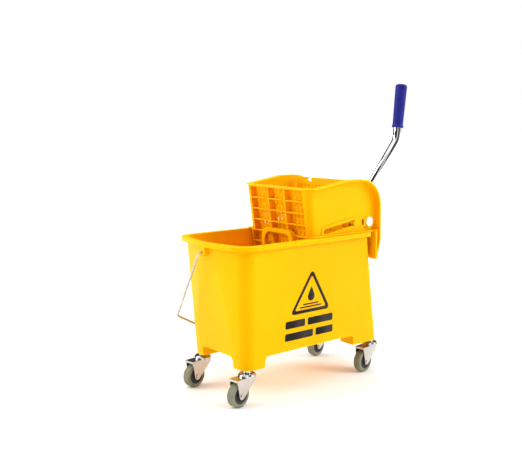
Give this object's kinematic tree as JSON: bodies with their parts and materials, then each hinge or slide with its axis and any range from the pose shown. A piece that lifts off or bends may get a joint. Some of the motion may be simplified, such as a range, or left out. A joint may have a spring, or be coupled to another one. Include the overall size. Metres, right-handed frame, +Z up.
{
  "type": "mop bucket with wringer",
  "caption": "Wheeled yellow mop bucket with a lift-off side-press wringer, a bent lever handle and a wire bail on swivel casters.",
  "frame": {"origin": "on the floor, midway between the four caster swivel axes", "axes": "+Z up, +X towards the wringer and its lever, +Y away from the side that carries the floor mark"},
  "size_m": [0.5604, 0.237, 0.6569],
  "materials": {
    "yellow_plastic": "satin injection-moulded polypropylene",
    "white_plastic": "glossy press-on caps",
    "navy_vinyl": "dipped vinyl sleeve",
    "chrome_tube": "bright plated steel tube",
    "zinc_steel": "bright zinc plate",
    "bail_wire": "drawn steel wire",
    "dark_hub": "moulded hub",
    "olive_tyre": "grey-green thermoplastic rubber tread"
  },
  "bodies": {
    "chassis": {"bucket": "yellow_plastic", "caster_stem_1": "zinc_steel", "caster_stem_2": "zinc_steel", "caster_stem_3": "zinc_steel", "caster_stem_4": "zinc_steel"},
    "swivel_1": {"caster_fork_1": "zinc_steel", "caster_axle_1": "zinc_steel"},
    "wheel_1": {"caster_hub_1": "dark_hub", "caster_tyre_1": "olive_tyre"},
    "swivel_2": {"caster_fork_2": "zinc_steel", "caster_axle_2": "zinc_steel"},
    "wheel_2": {"caster_hub_2": "dark_hub", "caster_tyre_2": "olive_tyre"},
    "swivel_3": {"caster_fork_3": "zinc_steel", "caster_axle_3": "zinc_steel"},
    "wheel_3": {"caster_hub_3": "dark_hub", "caster_tyre_3": "olive_tyre"},
    "swivel_4": {"caster_fork_4": "zinc_steel", "caster_axle_4": "zinc_steel"},
    "wheel_4": {"caster_hub_4": "dark_hub", "caster_tyre_4": "olive_tyre"},
    "bail": {"bail": "bail_wire"},
    "wringer": {"wringer_housing": "yellow_plastic", "pivot_shaft": "zinc_steel", "pivot_cap_near": "white_plastic", "pivot_cap_far": "white_plastic"},
    "lever": {"lever_yoke": "yellow_plastic", "lever_tube": "chrome_tube", "lever_grip": "navy_vinyl", "lever_bolt": "zinc_steel", "lever_nut": "zinc_steel", "crank_pin_near": "zinc_steel", "crank_pin_far": "zinc_steel"},
    "press": {"press_plate": "yellow_plastic", "guide_bush_near": "yellow_plastic", "guide_bush_far": "yellow_plastic"},
    "link_near": {"link_near": "yellow_plastic"},
    "link_far": {"link_far": "yellow_plastic"}
  },
  "joints": [
    {"name": "caster_swivel_1", "type": "hinge", "parent": "chassis", "child": "swivel_1", "pos_m": [-0.18, -0.0785, 0.057], "axis": [0, 0, 1], "continuous": true},
    {"name": "wheel_spin_1", "type": "hinge", "parent": "swivel_1", "child": "wheel_1", "pos_m": [-0.20575, -0.08212, 0.025], "axis": [-0.1392, 0.9903, 0], "continuous": true},
    {"name": "caster_swivel_2", "type": "hinge", "parent": "chassis", "child": "swivel_2", "pos_m": [-0.18, 0.0785, 0.057], "axis": [0, 0, 1], "continuous": true},
    {"name": "wheel_spin_2", "type": "hinge", "parent": "swivel_2", "child": "wheel_2", "pos_m": [-0.20575, 0.07488, 0.025], "axis": [-0.1392, 0.9903, 0], "continuous": true},
    {"name": "caster_swivel_3", "type": "hinge", "parent": "chassis", "child": "swivel_3", "pos_m": [0.18, -0.0785, 0.057], "axis": [0, 0, 1], "continuous": true},
    {"name": "wheel_spin_3", "type": "hinge", "parent": "swivel_3", "child": "wheel_3", "pos_m": [0.15425, -0.08212, 0.025], "axis": [-0.1392, 0.9903, 0], "continuous": true},
    {"name": "caster_swivel_4", "type": "hinge", "parent": "chassis", "child": "swivel_4", "pos_m": [0.18, 0.0785, 0.057], "axis": [0, 0, 1], "continuous": true},
    {"name": "wheel_spin_4", "type": "hinge", "parent": "swivel_4", "child": "wheel_4", "pos_m": [0.15425, 0.07488, 0.025], "axis": [-0.1392, 0.9903, 0], "continuous": true},
    {"name": "bail_swing", "type": "hinge", "parent": "chassis", "child": "bail", "pos_m": [0, 0, 0.3065], "axis": [1, 0, 0], "range_deg": [0, 150.5]},
    {"name": "wringer_lift", "type": "slide", "parent": "chassis", "child": "wringer", "axis": [0, 0, 1], "range_m": [0, 0.062]},
    {"name": "lever_swing", "type": "hinge", "parent": "wringer", "child": "lever", "pos_m": [0.142, 0, 0.35], "axis": [0, -1, 0], "range_deg": [0, 75]},
    {"name": "press_slide", "type": "slide", "parent": "wringer", "child": "press", "axis": [-0.9888, 0, -0.1495], "range_m": [0, 0.0882]},
    {"name": "link_swing_near", "type": "hinge", "parent": "lever", "child": "link_near", "pos_m": [0.14723, 0, 0.40977], "axis": [0, -1, 0], "range_deg": [-101.61, 0]},
    {"name": "link_swing_far", "type": "hinge", "parent": "lever", "child": "link_far", "pos_m": [0.14723, 0, 0.40977], "axis": [0, -1, 0], "range_deg": [-101.61, 0]}
  ],
  "couplings": [
    {"joint": "press_slide", "follows": "lever_swing", "m_per_rad": 0.067227},
    {"joint": "link_swing_near", "follows": "lever_swing", "ratio": -1.3521},
    {"joint": "link_swing_far", "follows": "lever_swing", "ratio": -1.3521}
  ]
}
